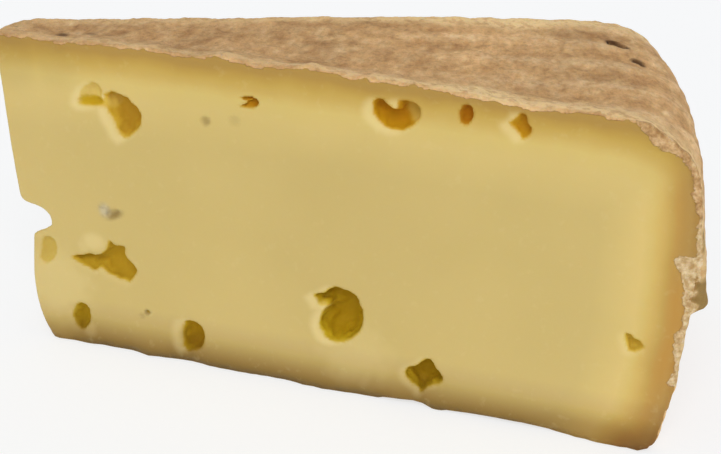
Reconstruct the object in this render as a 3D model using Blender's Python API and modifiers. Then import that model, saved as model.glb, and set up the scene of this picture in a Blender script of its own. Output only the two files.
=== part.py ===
"""A wedge of tomme, cut from a small pressed wheel with a grey-brown rind.

The wheel stands on its flat bottom with its axis on Z. Its profile is turned, its rind is made
uneven, and the wedge is what the knives leave. The eyes, gas holes in the paste, are then opened
on each cut face. The part's origin is under the middle of the wedge, on the surface it stands on.
"""

import math
import random

import bpy
from mathutils import Euler, Matrix, Vector

# ---- Driving dimensions, in metres and degrees ---------------------------------------------------

WHEEL_RADIUS = 0.1438
WHEEL_HEIGHT = 0.0600

# The top swells a little between the axis and the rim.
SWELL_HEIGHT = 0.0009
SWELL_RADIUS = 0.0735
SWELL_REACH = 0.0530

# The rim: a broad round shoulder above, a bulging side, and a tight corner below.
SHOULDER_WIDTH = 0.0172
SHOULDER_DROP = 0.0100
SHOULDER_SQUARENESS = 2.35
SIDE_BULGE = 0.0021
CORNER_WIDTH = 0.0024
CORNER_HEIGHT = 0.0032

# How finely the wheel is turned.
TURN_STEPS = 300
RING_SPACING = 0.0032
BOTTOM_RING_SPACING = 0.0180

# Lumps and hollows of the rind.
RIND_RELIEF = 0.0011
RIND_GRAIN = 0.0065

# The wedge: the front cut is the plane through the wheel's axis at angle 0.
WEDGE_ANGLE = 21.8
BACK_CUT_OFFSET = 0.0020
TIP_TOP_X = 0.0194
TIP_BOTTOM_X = 0.0236
TIP_CORNER_RADIUS = 0.0060
TOE_RADIUS = 0.0040
ROUNDING_CUTS = 3

# Where the wedge's own origin lies, from the wheel's axis.
ORIGIN = Vector((0.0824, 0.0276, 0.0))

# Each eye is one or more lobes: (along the cut, height, width, height of the mouth, tilt, depth).
# Lengths are in millimetres and the tilt is in degrees, anticlockwise as seen from outside.
MM = 0.001
FRONT_EYES = {
    "shallow_pair_left": [(37.3, 51.7, 3.8, 4.2, -20, 1.2)],
    "shallow_pair_right": [(43.6, 48.8, 5.0, 8.0, 28, 3.0)],
    "slit": [(66.9, 54.9, 3.3, 1.7, 0, 2.4)],
    "under_rind_wide": [(90.6, 56.6, 4.6, 3.2, -28, 2.6), (93.8, 55.8, 4.6, 5.2, 0, 2.6)],
    "under_rind_narrow": [(103.9, 57.7, 1.9, 3.4, 0, 2.4)],
    "under_rind_star": [(112.5, 57.3, 3.3, 1.5, -14, 1.7), (113.4, 57.1, 2.0, 4.3, 20, 1.9)],
    "mould_dimple": [(40.4, 28.9, 2.8, 1.3, 30, 0.8)],
    "tip_shallow": [(26.8, 18.8, 3.2, 5.2, -14, 1.0)],
    "bird_body": [(40.9, 18.4, 6.6, 4.6, -18, 3.0), (40.5, 21.4, 3.0, 2.8, 0, 2.4)],
    "bird_neck": [(34.8, 18.1, 6.6, 2.0, 4, 1.8), (42.6, 16.4, 2.8, 2.6, 0, 2.6)],
    "low_oval": [(32.8, 5.6, 3.3, 5.2, -6, 2.4)],
    "low_tall": [(55.2, 5.5, 4.0, 6.0, -8, 3.0)],
    "largest": [(84.2, 15.7, 7.6, 10.8, -4, 4.6), (80.9, 18.5, 2.4, 1.9, 0, 1.8)],
    "low_diamond": [(100.2, 6.8, 5.4, 5.4, 45, 3.8)],
    "heel_small": [(135.6, 20.6, 2.7, 2.3, -38, 1.6)],
}
BACK_EYES = {
    "back_high": [(47.0, 43.5, 6.2, 4.4, 20, 2.6), (50.2, 45.2, 2.8, 2.2, 0, 1.8)],
    "back_low_round": [(69.0, 14.0, 6.6, 7.8, 10, 3.8)],
    "back_middle": [(93.0, 33.5, 3.6, 5.4, -15, 2.2)],
    "back_rim": [(117.0, 50.0, 5.6, 3.4, 12, 2.4)],
    "back_low_slit": [(109.0, 9.0, 5.4, 2.0, -8, 2.2)],
    "back_tip": [(35.0, 20.0, 3.6, 3.0, 0, 1.6)],
    "back_dot": [(80.0, 52.0, 1.8, 2.2, 0, 1.4)],
}

# An eye runs on under its upper edge on the heel side, so its other edge is a gentle slope.
EYE_LEAN_ALONG = 0.30
EYE_LEAN_UP = 0.22
LARGE_EYE = 4.0
BLOB_TURN = Euler((0.31, 0.17, 0.53))

# An eye that opened through the front corner of the tip: centre and half sizes.
NOTCH_CENTRE = (21.6, 1.5, 25.9)
NOTCH_HALF = (6.3, 6.5, 4.3)

# Flies' pits in the rind on the shoulder, and the hollow under the front edge.
RIND_PITS = [
    ((123.7, 39.0, 60.0), (1.8, 1.9, 1.6)),
    ((128.5, 32.4, 59.2), (1.3, 1.5, 1.3)),
]
BASE_HOLLOW_CENTRE = (108.5, 0.0, 0.0)
BASE_HOLLOW_HALF = (17.0, 9.0, 1.0)

# A chip off the rind's front corner on the heel, and the lump of rind behind it.
CHIP_CENTRE = (143.6, 0.0, 36.2)
CHIP_HALF = (2.6, 1.5, 4.2)
LUMP_RADIUS = 142.0
LUMP_ANGLE = 4.0
LUMP_HEIGHT = 39.0
LUMP_HALF = (3.7, 13.0, 12.0)

RIND_COLOUR = (0.46, 0.31, 0.16, 1.0)
PASTE_COLOUR = (0.60, 0.46, 0.16, 1.0)


# ---- Scene ---------------------------------------------------------------------------------------

def clear_scene():
    for obj in list(bpy.data.objects):
        bpy.data.objects.remove(obj, do_unlink=True)


def new_collection(name, hidden=False):
    collection = bpy.data.collections.new(name)
    collection.hide_render = hidden
    bpy.context.scene.collection.children.link(collection)
    return collection


def new_material(name, colour, roughness):
    material = bpy.data.materials.new(name)
    material.use_nodes = True
    shader = material.node_tree.nodes["Principled BSDF"]
    shader.inputs["Base Color"].default_value = colour
    shader.inputs["Roughness"].default_value = roughness
    shader.inputs["Metallic"].default_value = 0.0
    return material


def take_object(name, collection):
    """Names the object that a primitive operator has just made and moves it to the collection."""
    obj = bpy.context.object
    obj.name = name
    obj.data.name = name
    for old in list(obj.users_collection):
        old.objects.unlink(obj)
    collection.objects.link(obj)
    return obj


def make_cutter(obj, materials, material_index):
    """A cutter isn't rendered, and gives the faces it cuts its own material."""
    obj.hide_render = True
    obj.display_type = "WIRE"
    for material in materials:
        obj.data.materials.append(material)
    for polygon in obj.data.polygons:
        polygon.material_index = material_index


# ---- The wheel -----------------------------------------------------------------------------------

def steps_between(start, end, spacing):
    """Evenly spaced values from start up to, but not at, end."""
    count = max(1, round(abs(end - start) / spacing))
    return [start + (end - start) * i / count for i in range(count)]


def top_height(radius):
    across = (radius - SWELL_RADIUS) / SWELL_REACH
    return WHEEL_HEIGHT + SWELL_HEIGHT * max(0.0, 1.0 - across * across)


def side_radius(height):
    middle = (WHEEL_HEIGHT - SHOULDER_DROP + CORNER_HEIGHT) / 2
    reach = (WHEEL_HEIGHT - SHOULDER_DROP - CORNER_HEIGHT) / 2
    across = (height - middle) / reach
    return WHEEL_RADIUS - SIDE_BULGE * across * across


def wheel_profile():
    """Points (radius, height) from the axis over the top, down the side and back under the bottom."""
    rim_top = WHEEL_HEIGHT - SHOULDER_DROP
    shoulder_start = side_radius(rim_top) - SHOULDER_WIDTH
    points = [(r, top_height(r)) for r in steps_between(0.0, shoulder_start, RING_SPACING)]
    power = 2 / SHOULDER_SQUARENESS
    for angle in steps_between(90, 0, 9):
        turn = math.radians(angle)
        radius = shoulder_start + SHOULDER_WIDTH * math.cos(turn) ** power
        points.append((radius, rim_top + SHOULDER_DROP * math.sin(turn) ** power))
    for height in steps_between(rim_top, CORNER_HEIGHT, RING_SPACING):
        points.append((side_radius(height), height))
    corner = side_radius(CORNER_HEIGHT) - CORNER_WIDTH
    for angle in steps_between(0, 90, 22.5):
        turn = math.radians(angle)
        radius = corner + CORNER_WIDTH * math.cos(turn)
        points.append((radius, CORNER_HEIGHT * (1 - math.sin(turn))))
    points += [(r, 0.0) for r in steps_between(corner, 0.0, BOTTOM_RING_SPACING)]
    points.append((0.0, 0.0))
    return points


def make_wheel(collection, materials):
    profile = wheel_profile()
    mesh = bpy.data.meshes.new("tomme_wedge")
    edges = [(i, i + 1) for i in range(len(profile) - 1)]
    mesh.from_pydata([(radius, 0.0, height) for radius, height in profile], edges, [])
    wheel = bpy.data.objects.new("tomme_wedge", mesh)
    collection.objects.link(wheel)
    for material in materials:
        mesh.materials.append(material)
    # The front cut falls between two steps of the turn, and not on one.
    wheel.rotation_euler.z = math.radians(180 / TURN_STEPS)

    rind = wheel.vertex_groups.new(name="uneven rind")
    rind.add([i for i, (_, height) in enumerate(profile) if height > CORNER_HEIGHT / 3], 1.0, "REPLACE")

    screw = wheel.modifiers.new("turned wheel", "SCREW")
    screw.steps = TURN_STEPS
    screw.render_steps = TURN_STEPS
    screw.use_merge_vertices = True
    screw.merge_threshold = 0.00005
    screw.use_smooth_shade = True

    relief = wheel.modifiers.new("rind relief", "DISPLACE")
    grain = bpy.data.textures.new("rind grain", "CLOUDS")
    grain.noise_scale = RIND_GRAIN
    grain.noise_depth = 3
    relief.texture = grain
    relief.texture_coords = "LOCAL"
    relief.strength = RIND_RELIEF
    relief.mid_level = 0.5
    relief.vertex_group = rind.name
    return wheel


# ---- The knives ----------------------------------------------------------------------------------

def make_knife(name, point, outward, collection, materials):
    """A block that removes everything beyond the plane through the point."""
    size = 4 * WHEEL_RADIUS
    bpy.ops.mesh.primitive_cube_add(size=size)
    knife = take_object(name, collection)
    outward = Vector(outward).normalized()
    knife.rotation_mode = "QUATERNION"
    knife.rotation_quaternion = outward.to_track_quat("Z", "Y")
    knife.location = Vector(point) + outward * size / 2
    make_cutter(knife, materials, 1)


def round_edge(name, first, second, point, radius, collection, materials):
    """Rounds the edge where two cuts with these normals meet at the point, with a few flat cuts."""
    middle = (first + second).normalized()
    centre = point - middle * radius / middle.dot(first)
    opening = first.angle(second)
    axis = first.cross(second).normalized()
    for number in range(1, ROUNDING_CUTS + 1):
        turn = Matrix.Rotation(opening * number / (ROUNDING_CUTS + 1), 3, axis)
        outward = turn @ first
        make_knife(f"{name}_{number}", centre + outward * radius, outward, collection, materials)


def make_knives(collection, materials):
    turn = math.radians(WEDGE_ANGLE)
    back_normal = Vector((-math.sin(turn), math.cos(turn), 0.0))
    tip_normal = Vector((-WHEEL_HEIGHT, 0.0, TIP_TOP_X - TIP_BOTTOM_X)).normalized()
    tip_top = Vector((TIP_TOP_X, 0.0, WHEEL_HEIGHT))
    make_knife("front_cut", Vector(), Vector((0.0, -1.0, 0.0)), collection, materials)
    make_knife("back_cut", back_normal * BACK_CUT_OFFSET, back_normal, collection, materials)
    make_knife("tip_cut", tip_top, tip_normal, collection, materials)

    tip_back_y = BACK_CUT_OFFSET / math.cos(turn) + TIP_TOP_X * math.tan(turn)
    tip_back = Vector((TIP_TOP_X, tip_back_y, WHEEL_HEIGHT))
    round_edge("tip_back", tip_normal, back_normal, tip_back, TIP_CORNER_RADIUS, collection, materials)
    toe = Vector((TIP_BOTTOM_X, 0.0, 0.0))
    down = Vector((0.0, 0.0, -1.0))
    round_edge("toe", tip_normal, down, toe, TOE_RADIUS, collection, materials)


# ---- Eyes, pits and chips ------------------------------------------------------------------------

def front_frame():
    """The front cut's own axes, as columns: along the cut, into the paste, and up."""
    return Matrix.Identity(4)


def back_frame():
    turn = math.radians(WEDGE_ANGLE)
    along = Vector((math.cos(turn), math.sin(turn), 0.0))
    inward = Vector((math.sin(turn), -math.cos(turn), 0.0))
    frame = Matrix.Identity(4)
    frame.col[0] = (*along, 0.0)
    frame.col[1] = (*inward, 0.0)
    frame.translation = -inward * BACK_CUT_OFFSET
    return frame


def make_blob(name, centre, half, collection, materials, material_index=1, fine=False):
    """A ball squashed to the half sizes, all in millimetres.

    It is turned first, so that none of its corners lies in the plane that it cuts.
    """
    bpy.ops.mesh.primitive_ico_sphere_add(subdivisions=3 if fine else 2, radius=1.0)
    blob = take_object(name, collection)
    blob.data.transform(BLOB_TURN.to_matrix().to_4x4())
    blob.data.transform(Matrix.Diagonal((*(h * MM for h in half), 1.0)))
    blob.location = Vector(centre) * MM
    make_cutter(blob, materials, material_index)
    return blob


def make_lobe(name, lobe, frame, collection, materials):
    """One lobe of an eye: a lopsided ball whose widest part is its mouth on the cut face."""
    along, height, width, tall, tilt, depth = lobe
    fine = max(width, tall) > LARGE_EYE
    blob = make_blob(name, (0, 0, 0), (width / 2, depth, tall / 2), collection, materials, 1, fine)
    uneven = random.Random(name)
    phase = uneven.uniform(0, 2 * math.pi)
    spin = Matrix.Rotation(-math.radians(tilt), 4, "Y")
    for vertex in blob.data.vertices:
        x, y, z = vertex.co
        around = math.atan2(z / tall, x / width)
        swell = 1 + 0.07 * math.sin(3 * around + phase) + 0.04 * math.sin(5 * around - phase)
        x, _, z = spin @ Vector((x * swell, 0, z * swell))
        vertex.co = (x + EYE_LEAN_ALONG * y, y, z + EYE_LEAN_UP * y)
    blob.data.transform(frame @ Matrix.Translation((along * MM, 0.0, height * MM)))
    if frame.determinant() < 0:
        blob.data.flip_normals()


def make_eyes(eyes, frame, collection, materials):
    for eye, lobes in eyes.items():
        for number, lobe in enumerate(lobes, start=1):
            make_lobe(f"{eye}_{number}", lobe, frame, collection, materials)


def make_hollows(collection, materials):
    make_blob("tip_notch", NOTCH_CENTRE, NOTCH_HALF, collection, materials, fine=True)
    make_blob("rind_chip", CHIP_CENTRE, CHIP_HALF, collection, materials, 0)
    make_blob("base_hollow", BASE_HOLLOW_CENTRE, BASE_HOLLOW_HALF, collection, materials, 0)
    for number, (centre, half) in enumerate(RIND_PITS, start=1):
        make_blob(f"rind_pit_{number}", centre, half, collection, materials, 0)


def make_lump(collection, materials):
    turn = math.radians(LUMP_ANGLE)
    centre = (LUMP_RADIUS * math.cos(turn), LUMP_RADIUS * math.sin(turn), LUMP_HEIGHT)
    lump = make_blob("rind_lump", centre, LUMP_HALF, collection, materials, 0, fine=True)
    lump.rotation_euler.z = turn
    return lump


# ---- The wedge -----------------------------------------------------------------------------------

def cut_with(wheel, name, collection):
    boolean = wheel.modifiers.new(name, "BOOLEAN")
    boolean.operation = "DIFFERENCE"
    boolean.operand_type = "COLLECTION"
    boolean.collection = collection
    boolean.solver = "EXACT"


def join_with(wheel, name, other):
    boolean = wheel.modifiers.new(name, "BOOLEAN")
    boolean.operation = "UNION"
    boolean.object = other
    boolean.solver = "EXACT"


def main():
    clear_scene()
    rind = new_material("tomme rind", RIND_COLOUR, 0.85)
    paste = new_material("tomme paste", PASTE_COLOUR, 0.55)
    materials = [rind, paste]

    cheese = new_collection("tomme")
    knives = new_collection("knives", hidden=True)
    hollows = new_collection("eyes and pits", hidden=True)
    additions = new_collection("rind additions", hidden=True)

    wheel = make_wheel(cheese, materials)
    make_knives(knives, materials)
    make_eyes(FRONT_EYES, front_frame(), hollows, materials)
    make_eyes(BACK_EYES, back_frame(), hollows, materials)
    make_hollows(hollows, materials)
    join_with(wheel, "lump on the heel", make_lump(additions, materials))
    cut_with(wheel, "knives", knives)
    cut_with(wheel, "eyes and pits", hollows)

    # Everything so far stands about the wheel's axis. The wedge's own origin is under its middle.
    origin = bpy.data.objects.new("wheel_axis", None)
    cheese.objects.link(origin)
    origin.location = -ORIGIN
    for obj in list(bpy.data.objects):
        if obj.type == "MESH":
            obj.parent = origin


main()
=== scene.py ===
"""Looks of the wedge of tomme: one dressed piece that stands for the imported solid.

The wedge is worked out as a distance field, in millimetres about the wheel's axis: the wheel's
rind, the knife cuts, and the eyes (gas holes). The field is then meshed, and its own distances
colour the paste and the rind.
"""

import math
from collections import namedtuple

import bpy
import numpy as np
from mathutils import Matrix, Vector


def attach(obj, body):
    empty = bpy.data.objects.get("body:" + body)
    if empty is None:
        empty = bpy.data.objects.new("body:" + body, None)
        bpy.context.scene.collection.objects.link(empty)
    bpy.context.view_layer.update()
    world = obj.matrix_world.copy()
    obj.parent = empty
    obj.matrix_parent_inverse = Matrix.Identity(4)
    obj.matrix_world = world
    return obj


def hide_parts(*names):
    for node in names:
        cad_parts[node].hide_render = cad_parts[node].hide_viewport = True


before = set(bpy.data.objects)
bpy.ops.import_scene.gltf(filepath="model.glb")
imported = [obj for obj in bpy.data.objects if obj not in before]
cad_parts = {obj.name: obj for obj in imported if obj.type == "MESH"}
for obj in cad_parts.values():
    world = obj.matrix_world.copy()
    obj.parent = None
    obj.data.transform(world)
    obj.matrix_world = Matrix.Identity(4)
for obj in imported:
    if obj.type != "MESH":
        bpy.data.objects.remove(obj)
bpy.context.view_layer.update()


def rows(text):
    """A table of numbers, written with commas within its rows and spaces between them."""
    return [tuple(map(float, row.split(","))) for row in text.split()]


# ---- Sizes, in millimetres and degrees ----
# They are close to the solid's own, and the ragged outlines follow the photo further than it does.

WHEEL_RADIUS = 143.8
WHEEL_HEIGHT = 60.0
SWELL_HEIGHT = 0.7
SWELL_RADIUS = 73.5
SWELL_REACH = 53.0
SHOULDER_WIDTH = 17.2
SHOULDER_DROP = 10.0
SHOULDER_SQUARENESS = 2.35
SIDE_BULGE = 2.1
CORNER_WIDTH = 2.4
CORNER_HEIGHT = 3.2
WEDGE_ANGLE = 21.8
BACK_CUT_OFFSET = 2.0
TIP_CORNER_RADIUS = 5.0
TOE_RADIUS = 0.5
ORIGIN = (82.4, 27.6, 0.0)

# The blunt tip's left edge on the front cut, as (height, x): it is bitten back under the notch.
TIP_OUTLINE = rows("""
    -1,27.6 0,26.9 0.4,26.5 1,26 1.8,25.45 2.6,24.95 3.4,24.6 5.1,24.1 7.1,23.7 10,23.4 13,23.35
    17,23.6 21,24 23.5,23.7 27,22.25 30.5,21.75 35,21.25 40,20.85 45,20.55 49,20.4 55,19.9 60,19.5
    64,19.2""")

# How far the foot of the front cut stands out, as (x, out).
FOOT_LINE = rows("""
    24,0.1 28,0.8 34,0.8 37.5,0.15 43,0.2 46.7,0.9 51,0.6 55,0.15 60,0.5 67,0.6 71,0.25 75,0.3
    79,0.7 83,0.8 87,0.4 90,0.2 95,0.5 100,0.6 107,0.4 115,0.4 124,0.15 127,0.45 131,1 134.5,1
    139,1.1 148,1.1""")

# How far the top rind curls up along the front cut, as (x, up).
FRONT_RISE = rows("""
    18,0.4 26,0.65 30,0.5 34,0.7 38,1.15 42,0.85 49,1.25 56,1 63,1.65 68,0.9 73,1.1 77,1.8 84,1.2
    90,1.25 95,1.2 101,1 104,0.8 108,0.7 114,0.2 117,0.6 120,0.9 123.5,1.4 127,1 130,1.3 133,1.4
    138,0.1 148,0""")

# Eyes of the front cut. Each has its depth, how far it leans along and up with depth, how soft its
# rim is, its bevel as (shift along, shift up, reach, slope), its tint, and its mouth as along,height.
# The tint is how strongly the walls are coloured, how red and how light they are, and how pale the
# rim is, where the rim is partly paler paste and partly a painted highlight on its lit slope.
FRONT_EYES = {
    "pair_left": (1.5, (0, 0.1), 0.6, (-0.9, -0.5, 0.9, 0.3), (0.8, 0.1, 0.85, 1), rows("""
    35.1,50 35.5,51.7 36.5,53 37.9,53.9 39,53.6 39.6,52.5 39.3,51.4 39.7,50.7 38.9,50 37.5,49.6
    36,49.5""")),
    "pair_right": (3.2, (0.25, 0.15), 0.4, (-0.9, -0.6, 1, 0.28), (0.95, 0.35, 0.15, 1), rows("""
    40,50.5 40.1,52 41.4,52.6 43,52.3 44.3,51.9 45.2,50.9 46.3,50.3 46.8,49.3 46.7,47.8
    46.3,46.6 45.3,45.7 44.4,44.8 43.3,44.3 42.4,44.9 41.8,46.3 41,47.8 40.4,49.2""")),
    "slit": (1.9, (0.2, 0.1), 0.2, None, (1, 0.85, 0.05, 0), rows("""
    64.9,55 66,55.5 67.2,55.6 68.1,55.2 68.5,54.6 68.1,53.8 67.1,53.5 66,53.45 64.8,53.5
    65.7,53.95 66.5,54.3 66.9,54.6 66.2,54.8 65.5,54.85""")),
    "under_rind_wide": (3, (0.1, 0.1), 0.35, (-0.9, -0.4, 1, 0.28), (1, 0.6, 0, 1), rows("""
    88.3,56.6 88.5,57.7 89.2,58.3 90,58.3 90.6,57.7 91.3,57.1 92.1,56.6 92.5,56.9 92.5,57.9
    92.8,58.6 94,58.7 95.3,58.4 96.2,57.6 96.3,56.4 95.7,55.2 94.8,54.3 93.6,53.5 92,53.3
    90.4,53.7 89.2,54.7 88.5,55.7""")),
    "under_rind_narrow": (1.7, (0.1, 0.1), 0.25, None, (1, 0.9, 0, 0), rows("""
    102.7,58.3 103.2,59.4 104,59.7 104.7,59.2 105,58.1 104.9,56.9 104.4,56 103.9,55.7 103.1,56.2
    102.7,57.2""")),
    "under_rind_star": (1.7, (0.1, 0.1), 0.25, (-0.8, -0.4, 0.8, 0.3), (1, 0.6, 0.1, 1), rows("""
    111,57.3 111.7,57.8 112.2,58.5 112.5,59.2 113.2,59.3 113.7,58.6 113.9,57.7 114.5,57
    114.6,56.2 114.1,55.4 113.3,55.1 112.6,55.8 111.9,56.4 111.3,56.9""")),
    "bird": (3.2, (0.15, 0.12), 0.25, (-0.3, -0.4, 0.8, 0.3), (1, 0.15, 0.25, 0.3), rows("""
    31.5,18 32.8,18.65 34.2,18.95 35.4,19.5 36.6,19.2 37.4,19.5 38.2,20.3 38.9,21 39.1,22.1
    39.4,23 40,22.2 40.8,21.95 41.6,22.15 42.4,22.1 42.3,20.9 42.7,19.9 43.5,19.1 44.3,18.3
    44.6,17.5 44.1,16.5 43.6,15.6 42.8,14.9 42,15.3 41,15.3 39.8,15.7 38.6,16.1 37.8,16.8
    37.1,17.1 36.6,16.6 35.8,16.2 35,16.7 33.8,16.8 32.8,17.2""")),
    "tip_shallow": (0.9, (0, 0.1), 0.6, None, (0.67, 0, 0.4, 0), rows("""
    25.1,17 25.5,19.5 26.1,21.2 27.2,21.8 28.1,21.2 28.5,19.6 28.4,18.2 27.7,16.9 26.4,15.9
    25.3,16.1""")),
    "low_oval": (2, (0.15, 0.1), 0.3, (-0.7, -0.1, 0.7, 0.3), (1, 0, 0, 0.1), rows("""
    30.9,4.6 31.1,6 31.8,7.4 32.7,8.4 33.7,8.2 34.5,7.2 34.5,5.6 34.1,4 33.4,2.8 32.4,2.5
    31.5,3.3""")),
    "low_tall": (2.8, (0.15, 0.05), 0.5, (-1.1, -0.1, 1, 0.32), (1, 0.1, 0, 0.6), rows("""
    53.5,6.9 53.9,8.1 54.8,8.6 56,8.6 57,8.2 57.6,7.2 57.8,5.8 57.5,4.3 57,3.2 56.1,2.6 55.2,2.3
    54.5,1.9 53.9,2.4 53.6,3.3 53.4,4.3 53.3,5.6""")),
    "largest": (5.2, (0.08, 0.12), 0.3, (-0.9, -0.4, 0.9, 0.3), (1, 0, 0, 1), rows("""
    79.1,18.8 79.7,19.45 80.6,19.6 81.4,20.3 82.1,21 82.9,21.5 83.8,21.5 84.6,21.1 85.6,21.1
    86.5,20.6 87.2,19.7 87.5,18.9 88.1,17.9 88.2,16.6 88.3,15.6 88,14.2 87.5,12.9 86.8,11.9
    86,11.1 84.8,10.4 83.6,10 82.4,10.1 81.3,10.8 80.6,12 80.2,13.3 80.3,14.7 80.7,15.8
    81.4,16.7 81.3,17.3 80.6,17.2 80,17.2 79.7,18""")),
    "low_diamond": (4.2, (0.05, 0.1), 0.3, (-0.6, -0.2, 0.8, 0.3), (1, 0, 0, 0.5), rows("""
    96.7,6.3 97.2,7.4 98.2,7.75 98.9,8.4 99.5,9.2 100.2,9.9 100.9,10 101.6,9.2 102.1,8.4
    102.7,7.8 103.3,6.8 103.5,6 102.9,5.1 101.8,4.7 101,4.2 100.4,3.4 99.8,2.5 99.3,3.5 98.4,4.1
    97.6,4.6 97,5.3""")),
    "heel_small": (1.8, (-0.25, 0.1), 0.25, (-0.5, -0.4, 0.8, 0.3), (0.88, 0, 0.3, 0.6), rows("""
    134.1,22.3 134.9,22.1 135.6,21.5 136.6,21.3 137.3,20.4 136.7,19.6 135.8,19.1 135.1,19.3
    134.6,20.3 134.2,21.2""")),
}
# Places where the eyes' walls are paler, and where the cut face is paler paste with a painted highlight:
# along, height, size, strength.
PALE_WALLS = rows("95.6,57,2.8,1 41.2,50.6,2,0.55 80.8,16.8,1.5,0.7")
PALE_AND_LIT_PATCHES = rows("""
    36.3,22.4,2.6,0.7 34.2,21,1.6,0.4 91.4,57.9,1,0.7 28,12,10,0.45 87,8.5,9,0.3 80.2,15.9,1.3,0.7
    34.4,2.9,2.2,0.28""")
# Dark spots on the front cut, partly real marks and partly painted shade in dimples and eye corners:
# along, height, size, strength.
DARK_SPOTS_AND_SHADE = rows("""
    46.5,9,0.6,1 59,49.9,0.95,0.62 64.2,50.8,1.1,0.18 45.5,8.1,0.7,0.3 54.3,5.3,1.7,0.4
    55.2,1.5,0.9,0.4 80.3,18.4,1.1,0.6 85,31,20,0.06 22.5,56,6,0.2 31,56.5,5,0.15""")
# Small round marks on the front cut: along, height, width, tall, tilt, depth. The deep ones have walls.
FRONT_MARKS = rows("""
    40.5,28.9,3,1.3,25,0.55 46.5,9,0.9,0.9,0,0.7 58.8,49.9,2,1.2,15,0.35 37.4,50.05,4.4,1,4,1.7
    64.2,50.8,1.8,1.2,-30,0.15 45.4,8,1.4,0.6,50,0.15""")
DEEP_MARK = 0.6
# Grey mould, and a dark streak in it: along, inward, height.
MOULD_PLACE = (38.9, 0, 29.3)
STREAK_PLACE = (40.9, 0, 28.6)
# Eyes of the back cut. Each has how soft its rim is and its lobes, given as the marks are.
BACK_EYES = [
    (0.7, rows("47,43.5,6.6,4.7,20,2.6 50.2,45.2,3,2.4,0,1.8")),
    (0.5, rows("69,14,7,8.2,10,3.8")),
    (0.6, rows("93,33.5,3.8,5.7,-15,2.2")),
    (0.5, rows("117,50,6,3.6,12,2.4")),
    (0.4, rows("109,9,5.8,2.1,-8,2.2")),
    (0.6, rows("35,20,3.8,3.2,0,1.6")),
    (0.4, rows("80,52,2,2.4,0,1.4")),
]
EYE_LEAN_ALONG = 0.30
EYE_LEAN_UP = 0.22

# The notch is an eye that opened through the tip, down and out to the back.
NOTCH_LEAN = (-0.50, -0.62)
NOTCH_GROWTH = 0.08
NOTCH = rows("""
    8,31.2 21.2,30.9 21.9,29.3 23.1,28.45 24.6,28.1 25.8,27.8 26.9,27.2 27.7,26.3 28.05,25.3
    27.9,24.4 26.8,23.7 25.5,22.9 24.5,22.2 23.9,21.4 23.4,20.2 8,18""")

# Pits in the top rind, as (centre, half sizes, darkness), and round stains on it, as (x, y, size,
# darkness).
RIND_PITS = [((124.1, 37.8, 60), (2.1, 1.45, 1.8), 1.25), ((128.6, 31.3, 59.2), (1.25, 0.85, 1.1), 1.05)]
RIND_STAINS = rows("30.6,4.4,0.95,0.8 34.9,6.9,0.85,0.5")
PIT_SKEW = 0.34

# Hollows under the foot of the front cut, as (centre, half sizes).
BASE_HOLLOWS = [((97, 0, 0), (5, 6, 0.65)), ((114, 0, 0), (10, 7, 0.45))]

# Where the rind's front corner on the heel has crumbled away, as (x, height). Beside it the crumbs
# reach into the cut as far as the tables say: past a depth that fades with (height, less), and to a
# depth at the shoulder from (x, depth).
PATCH = rows("""
    139.6,37.4 140.1,38.2 142,38.5 143.4,38.9 146,39.2 146,30 143.2,30.3 142.7,30.8 142.2,32.3
    141.4,34.2 140.5,35.9""")
HEEL_CRUMBS = rows("0,9 7,9 14,0.4 24,-0.1 36,0.1 39,0.7 47,0.7 49.5,-0.2 51,-0.2 53,0.3 60,0")
SHOULDER_CRUMBS = rows("129.5,-1 132,1.2 134,2.4 136,1.8 138,0.8 140,-1")

# How crumbly the top rind's front edge is, as (x, share).
CRUMB_SHARE = rows("22,0.35 40,0.6 70,0.6 92,1")

# Ridges that the shelf left on the top rind.
RIDGE_SPACING = 10.4
RIDGE_SHIFT = 5.2
RIDGE_TURN = (-0.242, 0.970)

# A flap of rind that stands out of the heel: how far, as (height, out), between which angles it
# rises and falls, and how dark the painted shade on its front is, as (height, darkness).
FLAP = rows("-5,0 27.4,0 28,0.8 28.6,2 29.4,2.35 32,2.05 36,1.6 40,1.15 45,0.8 50,0.35 54,0 70,0")
FLAP_ANGLES = (-0.1, 0.85, 3.5, 7.0)
FLAP_SHADE = rows("28,1 33.5,1 34.8,0.3 38.5,0.3 40,0.8 42.5,0.8 44,0 60,0")

# The rind's lightness runs over x as a share of this.
ALONG_REACH = 150

GRID_STEP = 0.46
MOST_TRIANGLES = 192_000


# ---- Noise ----

LATTICES = {}
TURN = np.array([[0.8, 0.36, -0.48], [-0.6, 0.48, -0.64], [0, 0.8, 0.6]], np.float32)


def noise(points, size, seed):
    """Smooth noise from -1 to 1 with lumps of the given size."""
    if seed not in LATTICES:
        LATTICES[seed] = np.random.default_rng(seed).uniform(-1, 1, 32 ** 3).astype(np.float32)
    table = LATTICES[seed]
    place = points @ TURN * np.float32(1 / size) + np.float32(seed * 7.31)
    corner = np.floor(place)
    part = place - corner
    part = part * part * (3 - 2 * part)
    low = corner.astype(np.int32) & 31
    high = (low + 1) & 31
    total = np.zeros(len(points), np.float32)
    for a in (0, 1):
        ix = (high if a else low)[:, 0] * 1024
        wx = part[:, 0] if a else 1 - part[:, 0]
        for b in (0, 1):
            iy = ix + (high if b else low)[:, 1] * 32
            wy = wx * (part[:, 1] if b else 1 - part[:, 1])
            total += wy * ((1 - part[:, 2]) * table[iy + low[:, 2]] + part[:, 2] * table[iy + high[:, 2]])
    return total


def shifts(points, size, seed, inward=0):
    """Uneven shifts of the points along a cut and up it, and by some share into it."""
    along, into, up = [noise(points, size, seed + i) for i in range(3)]
    return np.stack([along, inward * into, up], 1)


def ease(low, high, value):
    """From 0 at low to 1 at high, smoothly. High may be the lesser of the two."""
    part = np.clip((value - low) / (high - low), 0, 1)
    return part * part * (3 - 2 * part)


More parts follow.
